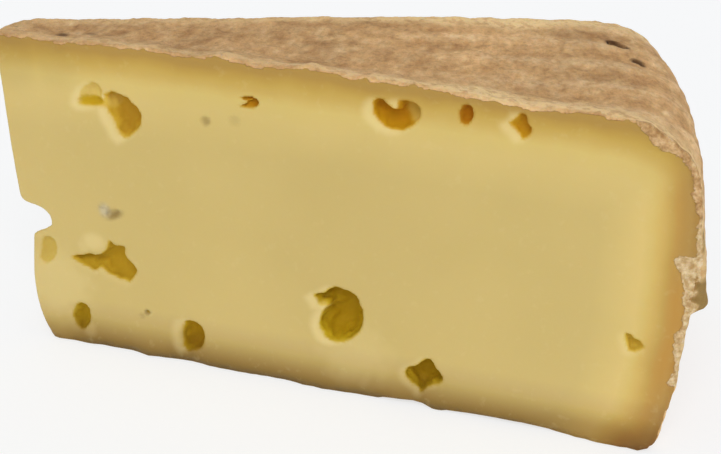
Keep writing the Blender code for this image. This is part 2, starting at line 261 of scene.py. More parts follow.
def look_up(table, value):
    """What a table of (value, result) gives, also in between its rows."""
    return np.interp(value, *zip(*table))


def bell(value, middle, width):
    return np.exp(-((value - middle) / width) ** 2)


# ---- The wheel's rind ----

def top_height(radius):
    across = (radius - SWELL_RADIUS) / SWELL_REACH
    return WHEEL_HEIGHT + SWELL_HEIGHT * max(0, 1 - across * across)


def side_radius(height):
    middle = (WHEEL_HEIGHT - SHOULDER_DROP + CORNER_HEIGHT) / 2
    reach = (WHEEL_HEIGHT - SHOULDER_DROP - CORNER_HEIGHT) / 2
    across = (height - middle) / reach
    return WHEEL_RADIUS - SIDE_BULGE * across * across


def wheel_profile():
    """Corners (radius, height) of half the wheel's section."""
    rim_top = WHEEL_HEIGHT - SHOULDER_DROP
    shoulder_start = side_radius(rim_top) - SHOULDER_WIDTH
    points = [(r, top_height(r)) for r in np.linspace(-40, shoulder_start, 60)]
    power = 2 / SHOULDER_SQUARENESS
    for turn in np.radians(np.linspace(88, 0, 30)):
        points.append((shoulder_start + SHOULDER_WIDTH * math.cos(turn) ** power,
                       rim_top + SHOULDER_DROP * math.sin(turn) ** power))
    points += [(side_radius(z), z) for z in np.linspace(rim_top, CORNER_HEIGHT, 24)[1:]]
    corner = side_radius(CORNER_HEIGHT) - CORNER_WIDTH
    for turn in np.radians(np.linspace(0, 90, 8)[1:]):
        points.append((corner + CORNER_WIDTH * math.cos(turn), CORNER_HEIGHT * (1 - math.sin(turn))))
    return np.array(points)


def from_segment(points, start, end):
    """How a segment runs, how the points lie from its start, and their squared distances from it."""
    along = end - start
    reach = points - start
    part = np.clip(reach @ along / (along @ along), 0, 1)
    gap = reach - part[:, None] * along
    return along, reach, np.einsum("ij,ij->i", gap, gap)


def signed_distance(points, outline):
    """Distance from points to an outline that runs with its inside on the right."""
    best = np.full(len(points), np.inf)
    sign = np.ones(len(points))
    for a, b in zip(outline[:-1], outline[1:]):
        along, reach, far = from_segment(points, a, b)
        side = along[0] * reach[:, 1] - along[1] * reach[:, 0]
        nearer = far < best - 1e-9
        best = np.where(nearer, far, best)
        sign = np.where(nearer, np.where(side > 0, 1, -1), sign)
    return np.sqrt(best) * sign


# The table of the smooth wheel's distances: its step, and the height that it starts from.
TABLE_STEP = 0.25
TABLE_LOW = np.float64(-4.0)


def rind_table():
    radii = np.arange(0, 152, TABLE_STEP)
    heights = np.arange(TABLE_LOW, 68, TABLE_STEP)
    grid = np.stack(np.meshgrid(radii, heights, indexing="ij"), -1).reshape(-1, 2)
    found = signed_distance(grid, wheel_profile())
    return found.reshape(len(radii), len(heights)).astype(np.float32)


RIND_TABLE = rind_table()


def wheel_distance(points):
    """Distance outside the top and the side of the smooth wheel."""
    radius = np.hypot(points[:, 0], points[:, 1])
    row = np.clip(radius / TABLE_STEP, 0, RIND_TABLE.shape[0] - 1.001)
    column = np.clip((points[:, 2] - TABLE_LOW) / TABLE_STEP, 0, RIND_TABLE.shape[1] - 1.001)
    i, j = row.astype(np.int32), column.astype(np.int32)
    u, v = row - i, column - j
    low = RIND_TABLE[i, j] * (1 - v) + RIND_TABLE[i, j + 1] * v
    high = RIND_TABLE[i + 1, j] * (1 - v) + RIND_TABLE[i + 1, j + 1] * v
    return (low * (1 - u) + high * u).astype(np.float32)


def ridge_height(points):
    """From 0 between the ridges to 1 on them. They fade out towards the tip."""
    x, y, z = points.T
    across = y * RIDGE_TURN[1] + x * RIDGE_TURN[0] + 1.2 * noise(points, 14, 4) + RIDGE_SHIFT
    crest = (0.5 + 0.5 * np.cos(across * (2 * math.pi / RIDGE_SPACING))) ** 2.5
    broken = 0.65 + 0.35 * noise(points, 6, 5)
    return crest * broken * ease(50, 57, z) * (0.25 + 0.75 * ease(80, 118, x))


def rind_relief(points):
    """How far the rind stands out from the smooth wheel."""
    x, y, z = points.T
    lumps = 0.17 * noise(points, 6, 1) + 0.17 * noise(points, 2.5, 2) + 0.13 * noise(points, 1.3, 3)
    lumps = lumps + ease(4, 0.8, y) * (0.11 * noise(points, 1.2, 6) + 0.1)
    ridges = 0.32 * ridge_height(points) - 0.22 * ease(50, 57, z)
    corner = 0.45 * ease(29, 20, x) * ease(50, 57, z)
    rise = look_up(FRONT_RISE, x) * ease(8.5, 0.5, y) * ease(49, 55, z)
    return (lumps + ridges + corner + rise) * ease(0.2, 3, z)


def ellipsoid(points, centre, half):
    """Distance outside an ellipsoid, near enough close to its surface."""
    local = (points - np.array(centre, np.float32)) / np.array(half, np.float32)
    near = np.linalg.norm(local, axis=1)
    slope = np.linalg.norm(local / np.array(half, np.float32), axis=1)
    return near * (near - 1) / np.maximum(slope, 1e-6)


def round_max(a, b, radius):
    """The larger of two distances, with the corner between them rounded."""
    beyond = np.hypot(np.maximum(a + radius, 0), np.maximum(b + radius, 0))
    return np.minimum(np.maximum(a, b), -radius) + beyond


def smooth_max(a, b, width):
    """The larger of two distances, with the corner between them filled in."""
    part = np.maximum(width - np.abs(a - b), 0) / width
    return np.maximum(a, b) + part * part * width * 0.25


def pit_distance(points, centre, half):
    local = points - np.array(centre, np.float32)
    local[:, 1] += PIT_SKEW * local[:, 0]
    return ellipsoid(local, (0, 0, 0), half)


def flap_bulge(points):
    """How far the flap stands out of the heel."""
    x, y, z = points.T
    rise, full, fall, end = FLAP_ANGLES
    angle = np.degrees(np.arctan2(y, x))
    bulge = look_up(FLAP, z)
    bulge *= ease(rise, full, angle) * ease(end, fall, angle)
    return bulge * ease(128, 140, np.hypot(x, y))


def rind_distance(points, detail=True):
    """Distance outside the rind, with the bulges of the heel and, in detail, its relief and pits."""
    x, y, z = points.T
    heel = ease(128, 138, x)
    upper = ease(36, 41, z) * ease(54, 49, z) * ease(2.5, 0.8, y)
    foot = ease(20, 9, z) * ease(1, 4, z) * ease(12, 3, y)
    found = wheel_distance(points) - flap_bulge(points) - 0.5 * upper * heel - 0.4 * foot * heel
    if not detail:
        return found.astype(np.float32)
    found = found - rind_relief(points)
    for centre, half, _ in RIND_PITS:
        box = np.abs(points - np.array(centre)).max(1) < 4
        hollow = pit_distance(points[box], centre, half) + 0.35 * noise(points[box], 1.3, 21)
        found[box] = smooth_max(found[box], -hollow, 0.4)
    return found


# ---- The cuts and the eyes ----

BACK_TURN = math.radians(WEDGE_ANGLE)


def front_distance(points):
    return -points[:, 1]


def back_distance(points):
    return points[:, 1] * math.cos(BACK_TURN) - points[:, 0] * math.sin(BACK_TURN) - BACK_CUT_OFFSET


def smooth_outline(outline):
    """The outline as closely spaced heights and values, with its corners rounded off."""
    heights = np.arange(-6, 70, 0.25)
    values = look_up(outline, heights)
    kernel = np.hanning(15)
    return heights, np.convolve(np.pad(values, 7, "edge"), kernel / kernel.sum(), "valid")


TIP_LINE = smooth_outline(TIP_OUTLINE)


def tip_distance(points):
    return (np.interp(points[:, 2], *TIP_LINE) - points[:, 0]).astype(np.float32)


def cut_distance(points):
    """Distance outside the nearest of the flat front cut, the flat back cut and the tip."""
    return np.maximum.reduce([front_distance(points), back_distance(points), tip_distance(points)])


def plain_distance(points):
    """Distance outside the smooth wedge, without relief, rounding or eyes."""
    return np.maximum.reduce([rind_distance(points, False), cut_distance(points), -points[:, 2]])


def to_back(points):
    """The points as the back cut sees them: along it, into the wedge, and up."""
    x, y, z = points.T
    cosine, sine = math.cos(BACK_TURN), math.sin(BACK_TURN)
    inward = x * sine - y * cosine + BACK_CUT_OFFSET
    return np.stack([x * cosine + y * sine, inward, z], 1).astype(np.float32)


def lobe_distance(points, lobe):
    along, height, width, tall, tilt, depth = lobe
    x, y, z = points.T
    u = x - along - EYE_LEAN_ALONG * y
    w = z - height - EYE_LEAN_UP * y
    cosine, sine = math.cos(math.radians(tilt)), math.sin(math.radians(tilt))
    local = np.stack([u * cosine + w * sine, y, w * cosine - u * sine], 1)
    return ellipsoid(local, (0, 0, 0), (width / 2, depth, tall / 2))


def outline_distance(flat, outline):
    """Distance outside a closed outline in the plane of a cut."""
    corners = np.array(outline + outline[:1], float)
    nearest = np.full(len(flat), np.inf)
    crossings = np.zeros(len(flat), bool)
    for a, b in zip(corners[:-1], corners[1:]):
        along, _, far = from_segment(flat, a, b)
        nearest = np.minimum(nearest, far)
        above = (a[1] > flat[:, 1]) != (b[1] > flat[:, 1])
        rise = b[1] - a[1] if b[1] != a[1] else 1e-9
        crossings ^= above & (flat[:, 0] < (flat[:, 1] - a[1]) / rise * along[0] + a[0])
    return np.sqrt(nearest) * np.where(crossings, -1, 1)


def inner_radius(outline):
    """How far the deepest point inside an outline is from it."""
    low, high = np.min(outline, 0), np.max(outline, 0)
    sides = [np.linspace(a, b, 40) for a, b in zip(low, high)]
    grid = np.stack(np.meshgrid(*sides), -1).reshape(-1, 2)
    return -outline_distance(grid, outline).min()


# How far round its outline an eye changes the wedge, and how much more on the sides that it leans to.
EYE_MARGIN = 3.2
EYE_LEAN_MARGIN = 1.5
Eye = namedtuple("Eye", "depth lean crisp bevel tint outline radius")
EYES = [Eye(*row, inner_radius(row[-1])) for row in FRONT_EYES.values()]


def bowl_distance(local, eye):
    """Distance outside an eye's hollow, whose mouth is the eye's outline."""
    flat = local[:, ::2] - local[:, 1:2] * np.array(eye.lean, np.float32)
    across = np.maximum(outline_distance(flat, eye.outline) + eye.radius, 0) / eye.radius
    down = np.maximum(local[:, 1], 0) / eye.depth
    far = np.sqrt(across * across + down * down)
    slope = np.sqrt((across / eye.radius) ** 2 + (down / eye.depth) ** 2)
    return (far * (far - 1) / np.maximum(slope, 1e-6)).astype(np.float32)


def bevel_distance(local, eye):
    """Distance outside the gentle slope that leads down into an eye from one side."""
    along, up, reach, slope = eye.bevel
    flat = local[:, ::2] - np.array((along, up), np.float32)
    turn = math.atan(slope)
    out = outline_distance(flat, eye.outline) - reach
    return (out * math.sin(turn) + local[:, 1] * math.cos(turn)).astype(np.float32)


def eye_points(points, eye):
    """Which points are near an eye, and where they are, with the eye's walls made uneven."""
    x, y, z = points.T
    low, high = np.min(eye.outline, 0) - EYE_MARGIN, np.max(eye.outline, 0) + EYE_MARGIN + EYE_LEAN_MARGIN
    near = (x > low[0]) & (x < high[0]) & (z > low[1])
    near &= (z < high[1]) & (y < eye.depth + 3) & (y > -3)
    place = points[near]
    wobble = shifts(place, 1.9, 31) * 0.12 + shifts(place, 0.8, 34) * 0.09
    deeper = ease(0.2, 1.5, place[:, 1:2]) * 3 + 1
    return near, (place + wobble * deeper).astype(np.float32)


def open_front_eye(found, points, eye):
    near, place = eye_points(points, eye)
    if not near.any():
        return
    if eye.bevel:
        found[near] = smooth_max(found[near], -bevel_distance(place, eye), 0.5)
    found[near] = smooth_max(found[near], -bowl_distance(place, eye), eye.crisp)


def open_mark(found, points, mark):
    along, height, width, tall, _, depth = mark
    reach = max(width, tall) / 2 + 1.5
    near = (np.abs(points[:, ::2] - np.array((along, height), np.float32)) < reach).all(1)
    near &= points[:, 1] < depth + 2
    if near.any():
        found[near] = smooth_max(found[near], -lobe_distance(points[near], mark), 0.3)


def notch_distance(points):
    flat = points[:, ::2] - points[:, 1:2] * np.array(NOTCH_LEAN, np.float32)
    wobble = 0.15 * noise(points, 2.4, 17) + 0.08 * noise(points, 1, 18)
    out = outline_distance(flat, NOTCH) - NOTCH_GROWTH * points[:, 1] + wobble
    return (out / 1.15).astype(np.float32)


def open_back_eye(found, local, crisp, lobes):
    """Takes one eye of the back cut out of the field, where the points are near it."""
    reach = [(lobe[0], lobe[1], max(lobe[2:4]) / 2) for lobe in lobes]
    low = (min(x - r for x, _, r in reach) - 2, -3, min(z - r for _, z, r in reach) - 2)
    high = (max(x + r for x, _, r in reach) + 4, 8, max(z + r for _, z, r in reach) + 4)
    near = ((local > np.array(low)) & (local < np.array(high))).all(1)
    if not near.any():
        return
    place = local[near]
    warp = shifts(place, 2.2, 31, 0.3) * 0.34 + shifts(place, 0.9, 34, 0.3) * 0.13
    place = place + warp * min(1, max(lobe[2] for lobe in lobes) / 4)
    hollow = lobe_distance(place, lobes[0])
    for lobe in lobes[1:]:
        hollow = -smooth_max(-hollow, -lobe_distance(place, lobe), 0.6)
    found[near] = smooth_max(found[near], -hollow, crisp)


def patch_weight(points):
    """1 where the rind's front corner on the heel has crumbled away."""
    away = outline_distance(points[:, ::2], PATCH) + 0.5 * noise(points, 1.6, 24)
    return ease(0.4, -0.5, away) * ease(3.5, 1.5, points[:, 1])


def front_cut(points, rind, heel):
    """Distance outside the front cut, with its crooked foot, spilt rind and crumbled heel."""
    x, _, z = points.T
    foot = look_up(FOOT_LINE, x) * ease(6, 0, z)
    foot = foot + 0.16 * noise(points, 1.5, 27) * ease(1.6, 0.2, z)
    spill = ease(1.7, 0.3, -rind) * np.maximum(noise(points, 1.4, 19) + 0.15, 0)
    spill = spill * ease(20, 40, z)
    spill = spill + 1.6 * bell(x, 32, 1.1) * ease(2.4, 1.2, -rind) * (z > 50)
    front = front_distance(points) - 0.05 * noise(points, 9, 13) - 0.22 * spill * (1 - heel) - foot
    broken = heel * ease(1.9, 0.6, -rind) * ease(8, 20, z)
    front = front + broken * (0.12 + 0.3 * noise(points, 1, 22))
    return front + patch_weight(points) * (0.45 + 0.45 * noise(points, 1.1, 23))


def wedge_distance(points):
    """Distance outside the whole wedge."""
    x, y, z = points.T
    rind = rind_distance(points)
    heel = ease(132, 141, x) * ease(57, 52, z)
    rounding = 0.35 + 0.15 * noise(points, 3, 12) + 0.12 * noise(points, 1.1, 11) + 0.35 * heel
    rounding = 0.1 + (np.clip(rounding, 0.12, 3) - 0.1) * ease(0.5, 4, z)
    back = back_distance(points) - 0.07 * noise(points, 9, 14)
    tip = tip_distance(points) - 0.1 * noise(points, 6, 15)
    sides = round_max(tip, back, TIP_CORNER_RADIUS)
    sides = round_max(sides, front_cut(points, rind, heel), 0.5)
    found = round_max(sides, rind, rounding)
    found = round_max(found, -z - 0.25, TOE_RADIUS * ease(31, 26, x) + 0.1)
    near = np.abs(z) < 3
    for hollow in BASE_HOLLOWS:
        found[near] = smooth_max(found[near], -ellipsoid(points[near], *hollow), 0.3)
    near = (x < 33) & (y < 18) & (z < 38)
    if near.any():
        found[near] = smooth_max(found[near], -notch_distance(points[near]), 0.35)
    for eye in EYES:
        open_front_eye(found, points, eye)
    for mark in FRONT_MARKS:
        open_mark(found, points, mark)
    inner = to_back(points)
    for crisp, lobes in BACK_EYES:
        open_back_eye(found, inner, crisp, lobes)
    return found.astype(np.float32)


# ---- Meshing ----

# How far from the plain surface, and how deep under the cuts, the field is worked out in full.
SURFACE_REACH = 2.2
EYE_REACH = 6.5
LONGEST_MOVE = 0.45 * GRID_STEP
GRID_SPANS = ((17, 148.5), (-1.9, 60.5), (-1.3, 64.5))
CHUNK = 400_000


def in_chunks(work, points):
    return np.concatenate([work(points[i:i + CHUNK]) for i in range(0, len(points), CHUNK)])


def make_field():
    """The field on a grid: in full near the surface, and plain further off."""
    axes = [np.arange(low, high, GRID_STEP, dtype=np.float32) for low, high in GRID_SPANS]
    shape = tuple(len(a) for a in axes)
    grid = np.stack(np.meshgrid(*axes, indexing="ij"), -1).reshape(-1, 3)
    field = in_chunks(plain_distance, grid)
    near = np.abs(field) < SURFACE_REACH
    deep = (field < 0) & (np.minimum(grid[:, 1], -back_distance(grid)) < EYE_REACH)
    index = np.flatnonzero(near | deep)
    field[index] = in_chunks(wedge_distance, grid[index])
    return axes, field.reshape(shape)


def surface_nets(axes, field):
    """Vertices and quads of the surface where the field is zero."""
    inside = field < 0
    nx, ny, nz = field.shape
    corners = np.array(list(np.ndindex(2, 2, 2)))
    count = sum(inside[a:nx - 1 + a, b:ny - 1 + b, c:nz - 1 + c].astype(np.int8) for a, b, c in corners)
    cells = np.argwhere((count > 0) & (count < 8))
    number = np.full((nx - 1, ny - 1, nz - 1), -1, np.int32)
    number[tuple(cells.T)] = np.arange(len(cells))
    values = np.stack([field[tuple((cells + corner).T)] for corner in corners], 1)
    total = np.zeros((len(cells), 3))
    hits = np.zeros(len(cells))
    for i, first in enumerate(corners):
        for j, second in enumerate(corners):
            # Only corners that share an edge of the cell.
            if j <= i or i ^ j not in (1, 2, 4):
                continue
            va, vb = values[:, i], values[:, j]
            crossed = (va < 0) != (vb < 0)
            part = np.where(crossed, va / np.where(crossed, va - vb, 1), 0)
            total += (first + part[:, None] * (second - first)) * crossed[:, None]
            hits += crossed
    start = np.array([a[0] for a in axes])
    vertices = (start + (cells + total / hits[:, None]) * GRID_STEP).astype(np.float32)
    quads = []
    for axis in range(3):
        places = np.argwhere(np.diff(inside, axis=axis))
        others = [k for k in range(3) if k != axis]
        keep = (places[:, others] > 0).all(1) & (places[:, others] < np.array(number.shape)[others]).all(1)
        places = places[keep]
        leaving = inside[tuple(places.T)]
        ring = []
        u, v = others
        for du, dv in ((0, 0), (-1, 0), (-1, -1), (0, -1)):
            cell = places.copy()
            cell[:, u] += du
            cell[:, v] += dv
            ring.append(number[tuple(cell.T)])
        ring = np.stack(ring, 1)
        flip = leaving if axis != 1 else ~leaving
        ring[~flip] = ring[~flip][:, ::-1]
        quads.append(ring)
    return vertices, np.concatenate(quads)


def settle(vertices, rounds=2):
    """Moves the vertices onto the surface itself."""
    step = np.float32(0.05)
    tetra = np.array([[1, -1, -1], [-1, -1, 1], [-1, 1, -1], [1, 1, 1]], np.float32)
    for _ in range(rounds):
        slope = np.zeros_like(vertices)
        mean = np.zeros(len(vertices), np.float32)
        for k in tetra:
            value = in_chunks(wedge_distance, vertices + k * step)
            slope += k * value[:, None]
            mean += value / 4
        slope /= 4 * step
        size = np.maximum(np.linalg.norm(slope, axis=1), 0.4)
        move = -slope * (mean / (size * size))[:, None]
        reach = np.linalg.norm(move, axis=1)
        move *= np.minimum(1, LONGEST_MOVE / np.maximum(reach, 1e-9))[:, None]
        vertices = vertices + move
        vertices[:, 2] = np.maximum(vertices[:, 2], 0)
    return vertices


def new_mesh(name, vertices, quads):
    mesh = bpy.data.meshes.new(name)
    mesh.vertices.add(len(vertices))
    mesh.vertices.foreach_set("co", vertices.astype(np.float32).ravel())
    mesh.loops.add(quads.size)
    mesh.loops.foreach_set("vertex_index", quads.astype(np.int32).ravel())
    mesh.polygons.add(len(quads))
    mesh.polygons.foreach_set("loop_start", np.arange(0, quads.size, 4, dtype=np.int32))
    mesh.polygons.foreach_set("loop_total", np.full(len(quads), 4, np.int32))
    mesh.update(calc_edges=True)
    mesh.validate()
    mesh.polygons.foreach_set("use_smooth", np.ones(len(mesh.polygons), bool))
    return mesh


def read_points(mesh):
    points = np.empty(len(mesh.vertices) * 3, np.float32)
    mesh.vertices.foreach_get("co", points)
    return points.reshape(-1, 3)


def apply_modifiers(obj):
    graph = bpy.context.evaluated_depsgraph_get()
    made = bpy.data.meshes.new_from_object(obj.evaluated_get(graph))
    old = obj.data
    obj.modifiers.clear()
    obj.data = made
    bpy.data.meshes.remove(old)
    made.name = obj.name


def thin_out(obj):
    """Fewer faces where they show least: on the back cut, under the wedge and on flat paste."""
    points = read_points(obj.data)
    _, y, z = points.T
    triangles = 2 * len(obj.data.polygons)
    if triangles <= MOST_TRIANGLES:
        return
    behind, low = ease(1.5, 6, y), ease(2, 0.6, z)
    back = ease(-2, -0.3, back_distance(points)) * ease(57, 54, z)
    weight = np.clip(0.05 + 0.1 * behind + 0.75 * low + 0.55 * back, 0, 1)
    group = obj.vertex_groups.new(name="thin")
    levels = np.round(weight * 10).astype(int)
    for level in np.unique(levels):
        group.add(np.flatnonzero(levels == level).tolist(), float(level) / 10, "REPLACE")
    thin = obj.modifiers.new("thin", "DECIMATE")
    thin.ratio = MOST_TRIANGLES / triangles
    thin.vertex_group = group.name
    thin.vertex_group_factor = 4
    thin.use_collapse_triangulate = True
    apply_modifiers(obj)
    obj.vertex_groups.clear()


# ---- What the materials read ----

def eye_values(points):
    """How much of an eye's wall each point is, how red and light that is, and how pale the rim is, with a
    painted highlight on its lit slope.
    """
    x, y, z = points.T
    wall, red, light, pale_and_lit_rim = np.zeros((4, len(points)), np.float32)
    for eye in EYES:
        near, place = eye_points(points, eye)
        strength, redness, lightness, rim_pale_and_lit = eye.tint
        deep = y[near]
        found = ease(0.4, 0.1, np.abs(bowl_distance(place, eye))) * ease(0, 0.35, deep)
        if eye.bevel:
            slope = ease(0.35, 0.1, np.abs(bevel_distance(place, eye))) * ease(0.25, 1.1, deep)
            found = np.maximum(found, 0.75 * slope)
        red[near] = np.where(found > 0.02, redness, red[near])
        light[near] = np.where(found > 0.02, lightness, light[near])
        wall[near] = np.maximum(wall[near], found * strength)
        # The rim towards the lower left: partly paler paste, partly a painted highlight on the slope that
        # faces the light.
        if eye.bevel:
            shifted = place[:, ::2] - np.array(eye.bevel[:2], np.float32) * 1.35
            found = ease(1.3, -0.3, outline_distance(shifted, eye.outline)) * ease(2.5, 0.8, deep)
            pale_and_lit_rim[near] = np.maximum(pale_and_lit_rim[near], found * rim_pale_and_lit)
    for mark in FRONT_MARKS:
        if mark[5] > DEEP_MARK:
            found = ease(0.8, 0.2, np.abs(lobe_distance(points, mark))) * ease(0.15, 0.6, y)
            wall = np.maximum(wall, found * (y < 4))
            light = np.where((found > 0.3) & (y < 4), 0.1, light)
    inner = to_back(points)
    inward = inner[:, 1]
    for _, lobes in BACK_EYES:
        for lobe in lobes:
            found = ease(0.9, 0.4, np.abs(lobe_distance(inner, lobe))) * ease(0.1, 0.5, inward)
            wall = np.maximum(wall, found * (inward < 6))
    for along, height, size, strength in PALE_WALLS:
        away = np.hypot(x - along, z - height) / size
        light = np.maximum(light, strength * ease(1, 0.4, away) * (y < 5))
    # Patches of the cut face, partly paler paste and partly painted highlight.
    for along, height, size, strength in PALE_AND_LIT_PATCHES:
        away = np.hypot(x - along, z - height) / size + 0.15 * noise(points, 1.5, 47)
        pale_and_lit_rim = np.maximum(pale_and_lit_rim, strength * ease(1, 0.35, away) * (y < 1.5))
    wall = wall * (1 - 0.35 * light * ease(0.3, 0.7, light))
    return {"eye_wall": wall, "pale_and_lit_rim": pale_and_lit_rim, "red": red, "light": light}


def mark_values(points):
    """The rind's pits and stains, and the mould, the dark marks and the painted shade in dimples and eye
    corners on the front cut.
    """
    x, y, z = points.T
    pits = np.zeros(len(points), np.float32)
    for centre, half, weight in RIND_PITS:
        pits = np.maximum(pits, weight * ease(0.7, -0.3, pit_distance(points, centre, half)))
    for along, across, size, weight in RIND_STAINS:
        away = np.hypot((x - along) / 1.3, y - across) / size
        pits = np.maximum(pits, weight * ease(1.3, 0.5, away) * (z > 55))
    spot = points - np.array(MOULD_PLACE, np.float32)
    spot = spot * np.array((1 / 1.3, 0.3, 1 / 1.6), np.float32)
    mould = ease(1.3, 0.3, np.linalg.norm(spot, axis=1))
    u, v, w = (points - np.array(STREAK_PLACE, np.float32)).T
    spot = np.stack([(u * 0.87 + w * 0.5) / 1.8, v * 0.2, (w * 0.87 - u * 0.5) / 0.75], 1)
    dark = 0.9 * ease(1.5, 0.3, np.linalg.norm(spot, axis=1))
    for along, height, size, weight in DARK_SPOTS_AND_SHADE:
        away = np.linalg.norm(points - np.array((along, 0, height), np.float32), axis=1) / size
        dark = np.maximum(dark, weight * ease(1.3, 0.4, away))
    return {"pit": pits, "mould": mould, "dark_mark_and_shade": dark}


def rind_values(points):
    """Where the rind shows, where it is crumbly or has crumbled off, and the painted shade on the flap's
    front.
    """
    x, y, z = points.T
    depth = -rind_distance(points)
    edge = np.minimum(np.abs(depth), np.maximum(z, 0) * 3 + 0.1)
    crest = ease(50, 55, z) * ease(1.5, 0.6, y)
    ragged = (1 + crest) * (0.16 * noise(points, 1.5, 41) + 0.1 * noise(points, 0.8, 42))
    ragged = ragged - crest * (0.1 + 0.45 * bell(x, 107, 5))
    above_foot = 1 - ease(2.8, 1.6, z) * ease(1, 0.4, y)
    outside = ease(0.42, 0.06, edge + ragged) * above_foot

    coarse, fine = noise(points, 2.2, 43), noise(points, 0.9, 44)
    at_cut = ease(1.3, 0.5, y)
    broken = ease(133, 138, x) * at_cut
    broken = broken * ease(2.1, 0.5, depth + 0.5 * coarse + 0.3 * fine + look_up(HEEL_CRUMBS, z))
    broken = np.maximum(broken, patch_weight(points) * (z > 29) * ease(1.6, 0.8, y))
    corner = depth - look_up(SHOULDER_CRUMBS, x) + 0.35 * coarse + 0.25 * fine
    broken = np.maximum(broken, ease(0.5, -0.3, corner) * at_cut * (z > 50))

    wide = 4.6 + 2.6 * ease(80, 104, x) + 2.5 * bell(x, 106, 6)
    inward = np.maximum(-cut_distance(points), 0)
    crumbs = ease(wide, 1.6, inward + 0.8 * noise(points, 2.6, 45)) * outside
    crumbs = crumbs * (1 + 0.6 * bell(x, 106.5, 4.5)) * look_up(CRUMB_SHARE, x)
    crumbs = crumbs * (0.3 + 0.7 * ease(0.1, 0.8, y))

    # Painted shade on the flap's front, which faces away from the light.
    shade = ease(0.15, 0.7, flap_bulge(points))
    shade = shade * ease(0.35, 0.8, y + 0.3 * noise(points, 0.9, 46)) * look_up(FLAP_SHADE, z)
    shade = shade * ease(3.4, 2, y + 0.5 * noise(points, 1.2, 48)) * (x > 141.5)
    return {"rind": np.maximum(outside, shade), "flap_painted_shade": shade, "broken": broken * (1 - 0.9 * shade),
            "crumb": crumbs}


def add_values(mesh):
    """Gives the mesh the attributes that the cheese's material reads."""
    points = read_points(mesh)
    x, y, z = points.T
    below_top, within_side = WHEEL_HEIGHT - z, WHEEL_RADIUS - np.hypot(x, y)
    spread = 0.6 * np.maximum(np.minimum(below_top, within_side), 0)
    # The painted shade at the bottom reaches less high at the toe and at the heel.
    shade_lift_at_ends = 1.3 * ease(36, 28, x) + 1.3 * ease(116, 128, x) * ease(3.5, 0.3, z)
    values = {
        "rind_depth": -rind_distance(points, False),
        "side": ease(-3 - spread, 5 + spread, below_top - within_side),
        "height": z,
        "under_shade_height": z + shade_lift_at_ends,
        "along": x / ALONG_REACH,
        "ridge": ridge_height(points),
        "eye_depth": np.maximum(-plain_distance(points), 0),
        **eye_values(points), **mark_values(points), **rind_values(points),
    }
    for name, value in values.items():
        layer = mesh.attributes.new(name, "FLOAT", "POINT")
        layer.data.foreach_set("value", value.astype(np.float32))


def to_part_frame(mesh):
    points = (read_points(mesh) - np.array(ORIGIN, np.float32)) * np.float32(0.001)
    mesh.vertices.foreach_set("co", points.ravel())
    mesh.update()


def add_object(name, data):
    obj = bpy.data.objects.new(name, data)
    bpy.context.scene.collection.objects.link(obj)
    return obj


def make_cheese():
    vertices, quads = surface_nets(*make_field())
    cheese = add_object("tomme_slice", new_mesh("tomme_slice", settle(vertices), quads))
    thin_out(cheese)
    add_values(cheese.data)
    to_part_frame(cheese.data)
    return cheese


# ---- Materials ----

def linear(*colour):
    """Linear light for a colour given as it is displayed, from 0 to 255."""
    shares = [c / 255 for c in colour]
    return tuple(s / 12.92 if s <= 0.04045 else ((s + 0.055) / 1.055) ** 2.4 for s in shares)


class Nodes:
    """Short calls for building a material's nodes."""

    def __init__(self, material):
        material.use_nodes = True
        self.tree = material.node_tree
        self.tree.nodes.clear()

    def add(self, kind, inputs, **settings):
        """A node with its settings, and with values or other nodes' sockets on its inputs."""
        node = self.tree.nodes.new("ShaderNode" + kind)
        for name, value in settings.items():
            setattr(node, name, value)
        for name, value in inputs.items():
            socket = node.inputs[name]
            if isinstance(value, bpy.types.NodeSocket):
                self.tree.links.new(value, socket)
            else:
                socket.default_value = (*value, 1) if socket.type == "RGBA" else value
        return node

    def read(self, name):
        return self.add("Attribute", {}, attribute_name=name).outputs["Fac"]

    def math(self, operation, a, b):
        return self.add("Math", {0: a, 1: b}, operation=operation).outputs[0]

    def plus(self, a, b):
        return self.math("ADD", a, b)

    def times(self, a, b):
        return self.math("MULTIPLY", a, b)

    def mix(self, kind, factor, a, b):
        inputs = {"Factor": factor, 6: a, 7: b}
        return self.add("Mix", inputs, data_type="RGBA", blend_type=kind).outputs[2]

    def cover(self, factor, colour, other):
        return self.mix("MIX", factor, colour, other)

    def tint(self, factor, colour, other):
        return self.mix("MULTIPLY", factor, colour, other)

    def ramp(self, factor, stops):
        """A ramp of colours, from rows of place, red, green, blue."""
        node = self.add("ValToRGB", {"Fac": factor})
        elements = node.color_ramp.elements
        while len(elements) > 1:
            elements.remove(elements[-1])
        for i, (place, *colour) in enumerate(stops):
            element = elements.new(place) if i else elements[0]
            element.position = place
            element.color = (*colour, 1)
        return node.outputs["Color"]

    def range(self, value, low, high, to_low=0, to_high=1):
        inputs = {"Value": value, "From Min": low, "From Max": high, "To Min": to_low, "To Max": to_high}
        return self.add("MapRange", inputs, interpolation_type="SMOOTHSTEP").outputs["Result"]

    def noise(self, size_mm, detail, roughness=0.5, stretch=(1, 1, 1), seed=0):
        place = self.add("TexCoord", {}).outputs["Object"]
        shift = (seed, seed * 0.7, seed * 1.3)
        moved = self.add("Mapping", {"Vector": place, "Scale": stretch, "Location": shift})
        return self.add("TexNoise", {
            "Vector": moved.outputs["Vector"], "Scale": 1000 / size_mm, "Detail": detail,
            "Roughness": roughness}).outputs["Fac"]

    def ragged(self, value, strength, size_mm, seed=0):
        """A value that noise makes uneven."""
        noise = self.math("SUBTRACT", self.noise(size_mm, 2, seed=seed), 0.5)
        return self.plus(value, self.times(noise, strength))

    def surface(self, inputs):
        shader = self.add("BsdfPrincipled", inputs)
        self.add("OutputMaterial", {"Surface": shader.outputs["BSDF"]})


